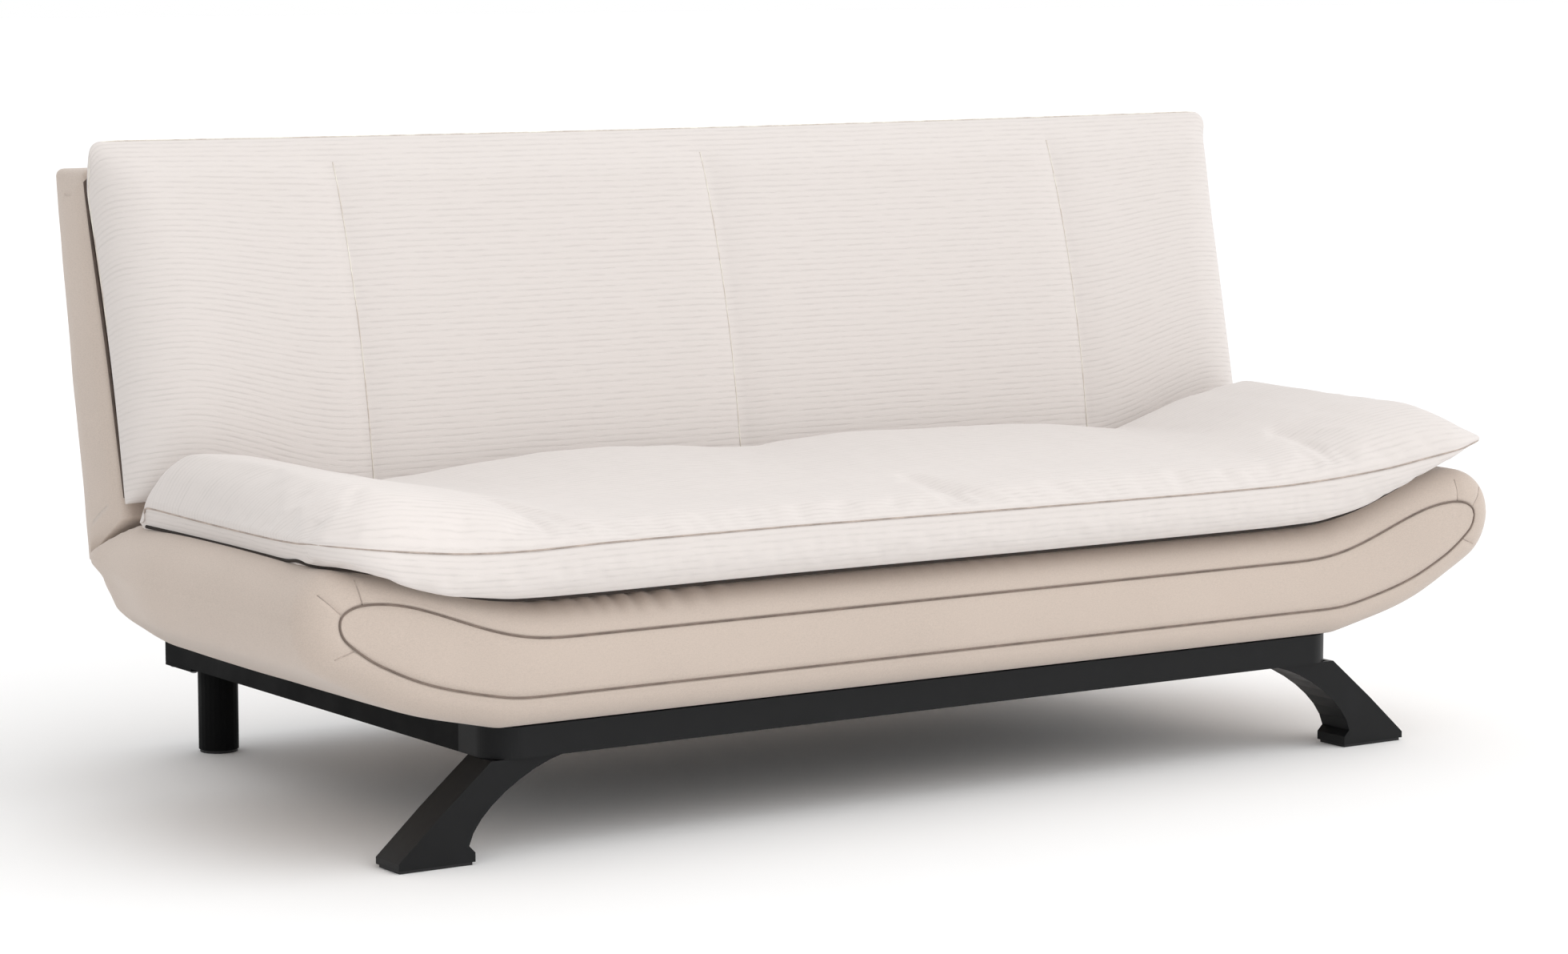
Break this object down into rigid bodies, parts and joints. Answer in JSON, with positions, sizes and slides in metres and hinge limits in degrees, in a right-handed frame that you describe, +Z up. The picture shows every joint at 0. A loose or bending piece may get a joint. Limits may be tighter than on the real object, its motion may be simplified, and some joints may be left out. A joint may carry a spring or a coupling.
{
  "type": "click clack sofa bed",
  "caption": "Armless sofa bed with a boat shaped seat, loose padded toppers, a black steel frame and a back that clicks down flat behind the seat.",
  "frame": {"origin": "centre of the bounding box's footprint, on the floor, with the back in its upright place", "axes": "+X to the right seen from the front, along the length; +Y to the rear; +Z up"},
  "size_m": [1.96, 1.003, 0.8996],
  "materials": {
    "steel_black": "satin black powder coat",
    "glide_plastic": "moulded black",
    "rest_rubber": "moulded",
    "pine": "planed, unfinished",
    "steel_zinc": "zinc plated",
    "foam": "cut polyether foam",
    "cover_fabric": "woven, beige, pulled tight",
    "topper_fabric": "fine ribbed weave, cream, padded",
    "dust_cloth": "thin black nonwoven"
  },
  "bodies": {
    "base": {"frame_front_rail": "steel_black", "frame_side_rail_left": "steel_black", "frame_side_rail_right": "steel_black", "frame_rear_rail": "steel_black", "frame_cross_rail": "steel_black", "front_leg_left": "steel_black", "front_leg_right": "steel_black", "rear_leg_flange_left": "steel_black", "rear_leg_flange_right": "steel_black", "rear_leg_left": "steel_black", "rear_leg_right": "steel_black", "front_glide_left": "glide_plastic", "front_glide_right": "glide_plastic", "rear_glide_left": "glide_plastic", "rear_glide_right": "glide_plastic", "deck_rest_left": "rest_rubber", "deck_rest_right": "rest_rubber", "seat_front_rail": "pine", "seat_rear_rail": "pine", "seat_side_rail_left": "pine", "seat_side_rail_right": "pine", "seat_middle_rail": "pine", "seat_spring_1": "steel_zinc", "seat_spring_2": "steel_zinc", "seat_spring_3": "steel_zinc", "seat_spring_4": "steel_zinc", "fitting_plate_left": "steel_zinc", "fitting_plate_right": "steel_zinc", "pivot_pin_left": "steel_zinc", "pivot_pin_right": "steel_zinc", "pawl_pin_left": "steel_zinc", "pawl_pin_right": "steel_zinc", "pawl_spring_left": "steel_zinc", "pawl_spring_right": "steel_zinc", "seat_foam": "foam", "seat_cover": "cover_fabric", "seat_front_panel": "cover_fabric", "rear_deck": "cover_fabric", "seat_topper": "topper_fabric", "seat_dust_cloth": "dust_cloth"},
    "back": {"back_top_rail": "pine", "back_bottom_rail": "pine", "back_hinge_post_left": "pine", "back_hinge_post_right": "pine", "back_middle_post": "pine", "back_end_post_left": "pine", "back_end_post_right": "pine", "back_end_rail_left": "pine", "back_end_rail_right": "pine", "back_spring_1": "steel_zinc", "back_spring_2": "steel_zinc", "back_spring_3": "steel_zinc", "back_arm_left": "steel_zinc", "back_arm_right": "steel_zinc", "back_foam": "foam", "back_cover": "cover_fabric", "back_topper": "topper_fabric"},
    "pawl_left": {"pawl_left": "steel_zinc"},
    "pawl_right": {"pawl_right": "steel_zinc"}
  },
  "joints": [
    {"name": "back_recline", "type": "hinge", "parent": "base", "child": "back", "pos_m": [0, 0.15684, 0.2445], "axis": [1, 0, 0], "range_deg": [-76.5, 5]},
    {"name": "pawl_left_swing", "type": "hinge", "parent": "base", "child": "pawl_left", "pos_m": [-0.698, 0.10984, 0.2825], "axis": [1, 0, 0], "range_deg": [0, 8], "stiffness_Nm_per_rad": 0.2},
    {"name": "pawl_right_swing", "type": "hinge", "parent": "base", "child": "pawl_right", "pos_m": [0.698, 0.10984, 0.2825], "axis": [1, 0, 0], "range_deg": [0, 8], "stiffness_Nm_per_rad": 0.2}
  ]
}
